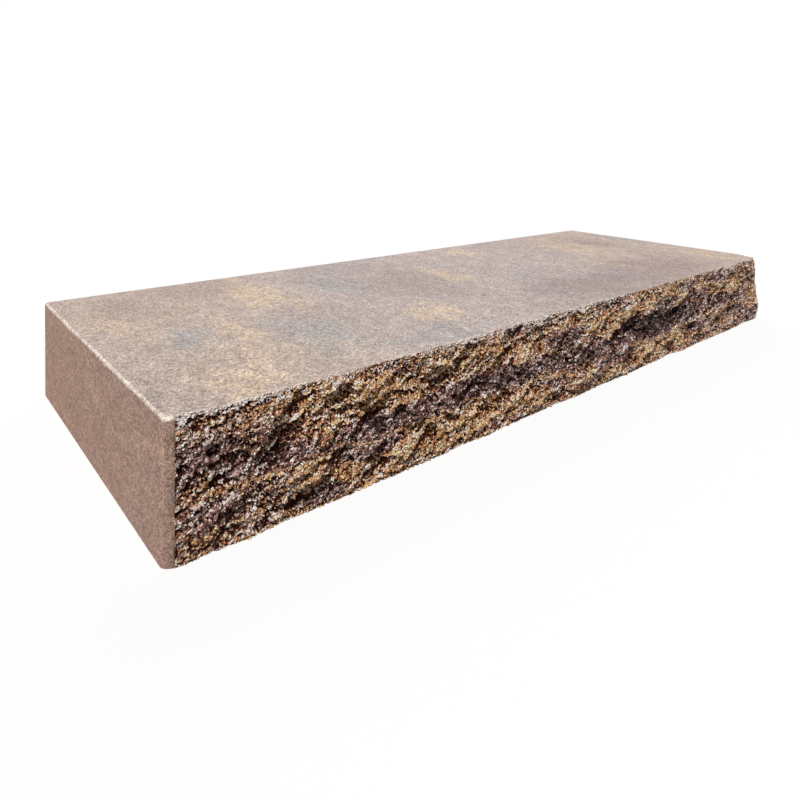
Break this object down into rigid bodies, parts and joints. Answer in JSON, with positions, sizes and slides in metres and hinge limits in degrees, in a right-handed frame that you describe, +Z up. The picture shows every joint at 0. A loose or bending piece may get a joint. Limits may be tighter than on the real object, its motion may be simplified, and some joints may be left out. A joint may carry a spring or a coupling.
{
  "type": "concrete step block",
  "caption": "Solid cast concrete step block with a smooth tread, moulded ends and back, rounded upper edges and a rough split-face riser, laid as a landscape step or coping.",
  "frame": {"origin": "centre of the underside, midway along the length and midway between the back face and the split line", "axes": "+X along the step, +Y towards the back face, away from the split riser, +Z up"},
  "size_m": [1.219, 0.4695, 0.127],
  "materials": {
    "concrete": "brown, tan and charcoal blended concrete, cast smooth on tread, ends and back, and broken rough on the riser"
  },
  "bodies": {
    "root": {"step_block": "concrete"}
  },
  "joints": []
}
